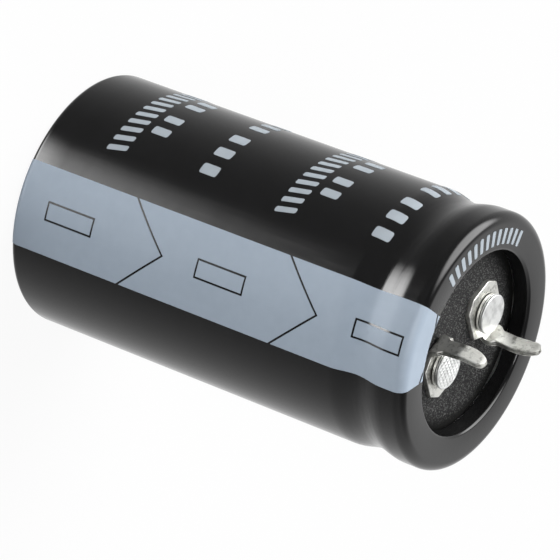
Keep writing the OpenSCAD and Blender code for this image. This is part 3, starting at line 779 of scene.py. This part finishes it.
def tin_material(name, shade_below_z=None):
    """Bright metal with drag marks, stains and rougher ends; painted shade below shade_below_z or in the fold
    grooves.
    """
    material, tree, where = new_material(name)
    stretch = add(tree, "ShaderNodeMapping", Vector=where, Scale=(3.0, 3.0, 0.5))
    drag = add(tree, "ShaderNodeTexNoise", Vector=stretch.outputs[0], Scale=2500.0, Detail=3.0)
    stain = add(tree, "ShaderNodeTexNoise", Vector=where, Scale=1500.0, Detail=5.0, Roughness=0.65)
    patches = add(tree, "ShaderNodeMapRange", Value=stain.outputs["Fac"], From_Min=0.34, From_Max=0.5)
    up = add(tree, "ShaderNodeSeparateXYZ", Vector=where)
    ragged = add(tree, "ShaderNodeMath", {"operation": "MULTIPLY_ADD"}, i0=stain.outputs["Fac"],
                 i1=RAGGED * MM, i2=up.outputs["Z"])
    worn = add(tree, "ShaderNodeMapRange", Value=ragged.outputs[0], From_Min=COINED_FROM * MM,
               From_Max=COINED_TO * MM)
    rough = add(tree, "ShaderNodeMapRange", Value=worn.outputs[0], To_Min=0.42, To_Max=0.72)
    clean = add(tree, "ShaderNodeMix", {"data_type": "RGBA"}, i0=drag.outputs["Fac"], i6=linear("E2E2DC"),
                i7=linear("FAFAF6"))
    colour = add(tree, "ShaderNodeMix", {"data_type": "RGBA"}, i0=patches.outputs[0], i6=linear("B4B4AE"),
                 i7=clean.outputs[2])
    # Painted shade: dark in the gap under a washer, or else in the fold grooves that the mask marks.
    if shade_below_z:
        colour = painted_gap_shade(tree, where, colour.outputs[2], shade_below_z)
    else:
        groove_shade_map = add(tree, "ShaderNodeUVMap", {"uv_map": "mask"})
        fold = add(tree, "ShaderNodeSeparateXYZ", Vector=groove_shade_map.outputs[0])
        colour = add(tree, "ShaderNodeMix", {"data_type": "RGBA"}, i0=fold.outputs["X"], i6=colour.outputs[2],
                     i7=linear("262623"))
    bump = add(tree, "ShaderNodeBump", Height=drag.outputs["Fac"], Strength=0.3, Distance=0.00001)
    shader = add(tree, "ShaderNodeBsdfPrincipled", Base_Color=colour.outputs[2], Metallic=1.0,
                 Roughness=rough.outputs[0], Normal=bump.outputs[0])
    finish_material(tree, shader)
    return material


# Below this height the washers are painted dark: painted shade in the gap over the plate.
WASHER_SHADE_Z = SEAL_Z + PLATE_T + 0.14
dress(tin_material("tin-plated steel"), "stamped_terminal_negative", "stamped_terminal_positive")
dress(tin_material("tin-plated washer with painted gap shade", WASHER_SHADE_Z), "washer_ring_negative", "washer_ring_positive")

# %% [markdown]
# Aluminium: the can, the rivets and the foil tabs. Drawing and punching leave it satin rather than
# mirror-bright, so a grain varies its roughness, and faint grey smears vary its tone. On the rivets the
# gap under the head is painted dark: painted shade.

# %% Aluminium
def aluminium_material(name, shade_below_z=None):
    """Satin metal whose grain varies its roughness and whose smears vary its tone; painted shade below
    shade_below_z.
    """
    material, tree, where = new_material(name)
    grain = add(tree, "ShaderNodeTexNoise", Vector=where, Scale=3000.0, Detail=3.0)
    smear = add(tree, "ShaderNodeTexNoise", Vector=where, Scale=900.0, Detail=4.0)
    patches = add(tree, "ShaderNodeMapRange", Value=smear.outputs["Fac"], From_Min=0.36, From_Max=0.54)
    rough = add(tree, "ShaderNodeMapRange", Value=grain.outputs["Fac"], To_Min=0.34, To_Max=0.5)
    clean = add(tree, "ShaderNodeMix", {"data_type": "RGBA"}, i0=grain.outputs["Fac"], i6=linear("EAEBEA"),
                i7=linear("F8F9F8"))
    colour = add(tree, "ShaderNodeMix", {"data_type": "RGBA"}, i0=patches.outputs[0], i6=linear("D6D7D6"),
                 i7=clean.outputs[2])
    # Painted shade in the gap under a rivet's head.
    if shade_below_z:
        colour = painted_gap_shade(tree, where, colour.outputs[2], shade_below_z)
    bump = add(tree, "ShaderNodeBump", Height=grain.outputs["Fac"], Strength=0.3, Distance=0.00001)
    wave = add(tree, "ShaderNodeBump", Height=smear.outputs["Fac"], Strength=0.25, Distance=0.00005,
               Normal=bump.outputs[0])
    shader = add(tree, "ShaderNodeBsdfPrincipled", Base_Color=colour.outputs[2], Metallic=1.0,
                 Roughness=rough.outputs[0], Normal=wave.outputs[0])
    finish_material(tree, shader)
    return material


# Below this height the rivets are painted dark: painted shade in the gap under the head.
RIVET_SHADE_Z = HEAD_Z + 0.15
dress(aluminium_material("satin aluminium"), "can", "tab_negative", "tab_positive")
dress(aluminium_material("upset aluminium with painted gap shade", RIVET_SHADE_Z), "upset_rivet_negative", "upset_rivet_positive")

# %% [markdown]
# The seal's face is a filled rubber sheet: matt black with a fine pale speckle of filler, about 0.15 mm
# apart. Towards the can the face is painted darker, with a lower specular level that hides the speckle:
# painted shade beside the can's wall. A ramp cuts the noise into sparse specks, which plain noise would blur
# into grey.

# %% Seal rubber
EDGE_SHADE_FROM, EDGE_SHADE_TO = 7.4, 9.0

rubber, tree, where = new_material("filled black rubber")
speck = add(tree, "ShaderNodeTexNoise", Vector=where, Scale=8000.0, Detail=2.0)
tone = add(tree, "ShaderNodeValToRGB", Fac=speck.outputs["Fac"])
for stop, position, shade in zip(tone.color_ramp.elements, (0.53, 0.67), ("09090A", "646463")):
    stop.position, stop.color = position, linear(shade)
flat = add(tree, "ShaderNodeVectorMath", {"operation": "MULTIPLY"}, i0=where, i1=(1.0, 1.0, 0.0))
radius = add(tree, "ShaderNodeVectorMath", {"operation": "LENGTH"}, i0=flat.outputs[0])
# Painted shade: from here to the can the colour darkens and the specular level falls.
edge = add(tree, "ShaderNodeMapRange", SMOOTH_STEP, Value=radius.outputs["Value"],
           From_Min=EDGE_SHADE_FROM * MM, From_Max=EDGE_SHADE_TO * MM)
edge_shaded = add(tree, "ShaderNodeMix", {"data_type": "RGBA"}, i0=edge.outputs[0], i6=tone.outputs[0],
              i7=linear("0A0A09"))
sheen = add(tree, "ShaderNodeMapRange", Value=edge.outputs[0], To_Min=0.3, To_Max=0.08)
bump = add(tree, "ShaderNodeBump", Height=speck.outputs["Fac"], Strength=0.6, Distance=0.00003)
shader = add(tree, "ShaderNodeBsdfPrincipled", Base_Color=edge_shaded.outputs[2], Roughness=0.7, IOR=1.5,
             Specular_IOR_Level=sheen.outputs[0], Normal=bump.outputs[0])
finish_material(tree, shader)
dress(rubber, "rubber_facing")

# %% [markdown]
# What lies inside is never seen unless the part is opened: a board of brown phenolic laminate, the roll of
# foil and soaked paper, and the amber tape that closes it. One recipe serves all three: two shades mixed by
# noise, a light bump, and a roughness from fairly smooth tape to dull paper.

# %% Inner pieces
def plain_material(name, low, high, scale, roughness):
    """Two shades mixed by noise of a given scale, with the same noise as bump."""
    material, tree, where = new_material(name)
    noise = add(tree, "ShaderNodeTexNoise", Vector=where, Scale=scale, Detail=4.0)
    colour = add(tree, "ShaderNodeMix", {"data_type": "RGBA"}, i0=noise.outputs["Fac"], i6=linear(low),
                 i7=linear(high))
    bump = add(tree, "ShaderNodeBump", Height=noise.outputs["Fac"], Strength=0.3, Distance=0.00002)
    shader = add(tree, "ShaderNodeBsdfPrincipled", Base_Color=colour.outputs[2], Roughness=roughness,
                 Normal=bump.outputs[0])
    finish_material(tree, shader)
    return material


dress(plain_material("brown phenolic laminate", "4A2C16", "5E3A20", 1500.0, 0.45), "seal_board")
dress(plain_material("soaked paper roll", "A8976F", "BBAA82", 2500.0, 0.7), "winding")
dress(plain_material("amber tape", "A8762E", "B98638", 800.0, 0.35), "winding_tape")

# %% [markdown]
# The camera stands where the photographer's did: low over the side of the part, rolled so that the
# terminals point to the lower right, and with a long lens that keeps the edges nearly parallel. Its place
# is given by a target, a distance and two angles, because those can be read off a photo one after the
# other.

# %% Camera
CAMERA_TARGET = (0.257, 0.910, 23.124)
CAMERA_DISTANCE, CAMERA_AZIMUTH, CAMERA_HEIGHT, CAMERA_ROLL = 374.874, -15.765, 28.911, -110.848
LENS, SENSOR = 253.22, 36.0

lens = bpy.data.cameras.new("camera")
lens.lens, lens.sensor_width = LENS, SENSOR
camera = bpy.data.objects.new("camera", lens)
bpy.context.scene.collection.objects.link(camera)
bpy.context.scene.camera = camera
azimuth, height, roll = (np.radians(x) for x in (CAMERA_AZIMUTH, CAMERA_HEIGHT, CAMERA_ROLL))
away = Vector((np.cos(height) * np.cos(azimuth), np.cos(height) * np.sin(azimuth), np.sin(height)))
place = (Vector(CAMERA_TARGET) + away * CAMERA_DISTANCE) * MM
turn = away.to_track_quat("Z", "Y").to_matrix().to_4x4() @ Matrix.Rotation(-roll, 4, "Z")
camera.matrix_world = Matrix.Translation(place) @ turn
lens.clip_start = 0.01
print("camera at mm:", [round(x / MM, 1) for x in place])

# %% [markdown]
# The floor is plain and pale. The camera sees it almost white, because most of what it sees there is a
# plain glow, and the rest is a matt surface that keeps the part's soft shadow. Gloss and metal don't see
# the floor: they mirror the lights below it, as a part that lies on lit glass does.

# %% Floor
FLOOR_HALF, GLOW_SHARE = 3, 0.93

floor_mesh = bpy.data.meshes.new("floor")
corners = [(x * FLOOR_HALF, y * FLOOR_HALF, 0) for x, y in ((-1, -1), (1, -1), (1, 1), (-1, 1))]
floor_mesh.from_pydata(corners, [], [(0, 1, 2, 3)])
floor = bpy.data.objects.new("floor", floor_mesh)
bpy.context.scene.collection.objects.link(floor)
floor.visible_glossy = False

pale, tree, where = new_material("pale floor")
diffuse = add(tree, "ShaderNodeBsdfDiffuse", Color=linear("D2D2D2"))
glow = add(tree, "ShaderNodeEmission", Color=(1, 1, 1, 1), Strength=1.0)
ray = tree.nodes.new("ShaderNodeLightPath")
camera_share = add(tree, "ShaderNodeMath", {"operation": "MULTIPLY"}, i0=ray.outputs["Is Camera Ray"],
                   i1=GLOW_SHARE)
both = tree.nodes.new("ShaderNodeMixShader")
for socket, source in zip(both.inputs, (camera_share, diffuse, glow)):
    tree.links.new(source.outputs[0], socket)
finish_material(tree, both)
floor.data.materials.append(pale)
print("floor:", 2 * FLOOR_HALF, "m square")

# %% [markdown]
# A tent of white cloth stands round the part: bright on the far side, dimmer towards the opening that the
# camera looks through, and darker in the roof. Black gloss shows little but its surroundings, so this tent,
# and not a lamp, is what models the sleeve. It is a ramp over the angle between a direction and that of the
# opening.

# %% Tent
OPENING_AZIMUTH = -30
ROOF_FROM, ROOF_TO, ROOF_SHARE = 0.5, 0.85, 0.3  # sine of the height, and the light left
TENT_STOPS = [(0.0, 1.0), (0.07, 0.9), (0.15, 0.8), (0.25, 0.72), (0.37, 0.58), (0.5, 0.45), (0.63, 0.32),
              (0.75, 0.25), (1.0, 0.22)]

world = bpy.data.worlds.new("tent")
bpy.context.scene.world = world
world.use_nodes = True
tree = world.node_tree
tree.nodes.clear()
toward = tree.nodes.new("ShaderNodeTexCoord").outputs["Generated"]
axes = add(tree, "ShaderNodeSeparateXYZ", Vector=toward)


def direction(azimuth, height):
    """Unit vector towards an azimuth and a height in degrees."""
    a, h = np.radians(azimuth), np.radians(height)
    return Vector((float(np.cos(h) * np.cos(a)), float(np.cos(h) * np.sin(a)), float(np.sin(h))))


opening = add(tree, "ShaderNodeVectorMath", {"operation": "DOT_PRODUCT"}, i0=toward,
              i1=direction(OPENING_AZIMUTH, 0))
ramp = add(tree, "ShaderNodeMapRange", Value=opening.outputs["Value"], From_Min=-1.0, From_Max=1.0)
cloth = add(tree, "ShaderNodeValToRGB", Fac=ramp.outputs[0])
cloth.color_ramp.interpolation = "B_SPLINE"
for position, value in TENT_STOPS[1:-1]:
    cloth.color_ramp.elements.new(position)
for element, (position, value) in zip(cloth.color_ramp.elements, TENT_STOPS):
    element.position, element.color = position, (value, value, value, 1)
roof = add(tree, "ShaderNodeMapRange", SMOOTH_STEP, Value=axes.outputs["Z"], From_Min=ROOF_FROM,
           From_Max=ROOF_TO, To_Min=1.0, To_Max=ROOF_SHARE)
tent = add(tree, "ShaderNodeMath", {"operation": "MULTIPLY"}, i0=cloth.outputs[0], i1=roof.outputs[0])
print("tent from", TENT_STOPS[0][1], "at the back to", TENT_STOPS[-1][1], "at the opening")

# %% [markdown]
# Two soft lights shine through the cloth. One stands low in front: a round glow with a firmer upper edge,
# mirrored by the groove beside the stripe. It fades out again straight below. The other stands high at the
# back and draws the soft light along the upper side of the sleeve. Both are spots in the world, which
# leaves no lamp to be seen.

# %% Lights behind the cloth
LOW_LIGHT = (-20, -50, 31.5, 5, 12.0)  # azimuth, height, outer and inner angle, strength
BACK_LIGHT = (-116, 43, 36, 19, 5.6)
UPPER_EDGE, LOWER_EDGE = (-0.475, -0.6), (-0.93, -0.87)  # sine of the height, from dark to light


def round_light(azimuth, height, outer, inner, strength):
    """Light that rises by a smooth step to its strength between two angles from its middle."""
    edge, core = (float(np.cos(np.radians(angle))) for angle in (outer, inner))
    middle = add(tree, "ShaderNodeVectorMath", {"operation": "DOT_PRODUCT"}, i0=toward,
                 i1=direction(azimuth, height))
    return add(tree, "ShaderNodeMapRange", SMOOTH_STEP, Value=middle.outputs["Value"], From_Min=edge,
               From_Max=core, To_Max=strength)


upper, lower = (add(tree, "ShaderNodeMapRange", SMOOTH_STEP, Value=axes.outputs["Z"], From_Min=start,
                    From_Max=end) for start, end in (UPPER_EDGE, LOWER_EDGE))
window = add(tree, "ShaderNodeMath", {"operation": "MULTIPLY"}, i0=upper.outputs[0], i1=lower.outputs[0])
low_light = add(tree, "ShaderNodeMath", {"operation": "MULTIPLY"}, i0=round_light(*LOW_LIGHT).outputs[0],
                i1=window.outputs[0])
lights = add(tree, "ShaderNodeMath", {"operation": "ADD"}, i0=round_light(*BACK_LIGHT).outputs[0],
             i1=low_light.outputs[0])
total = add(tree, "ShaderNodeMath", {"operation": "ADD"}, i0=tent.outputs[0], i1=lights.outputs[0])
background = add(tree, "ShaderNodeBackground", Color=(1, 1, 1, 1), Strength=total.outputs[0])
out = tree.nodes.new("ShaderNodeOutputWorld")
tree.links.new(background.outputs[0], out.inputs["Surface"])
print("low light and back light, brightest:", LOW_LIGHT[-1], "and", BACK_LIGHT[-1])

# %% [markdown]
# The key light is a round softbox in front and above. The heads and plates of the terminals mirror it,
# which makes them shine against the dark seal. The power of a lamp follows from the radiance L of its cloth
# and its area A: watts = pi L A.

# %% Key light
KEY_AZIMUTH, KEY_HEIGHT, KEY_DISTANCE, KEY_SIZE, KEY_RADIANCE = -4, 50, 700, 320, 7.0
KEY_TARGET = (0, 0, 22)

softbox = bpy.data.lights.new("key softbox", "AREA")
softbox.shape, softbox.size = "DISK", KEY_SIZE * MM
softbox.energy = KEY_RADIANCE * np.pi * np.pi * softbox.size ** 2 / 4
lamp = bpy.data.objects.new("key softbox", softbox)
away = direction(KEY_AZIMUTH, KEY_HEIGHT)
lamp.matrix_world = (Matrix.Translation((Vector(KEY_TARGET) + away * KEY_DISTANCE) * MM)
                     @ away.to_track_quat("Z", "Y").to_matrix().to_4x4())
bpy.context.scene.collection.objects.link(lamp)
print("key softbox gives", round(softbox.energy, 2), "W")

# %% [markdown]
# The plain transform shows colours as they are written. A film-like one would turn the white ground grey.

# %% View
bpy.context.scene.view_settings.view_transform = "Standard"
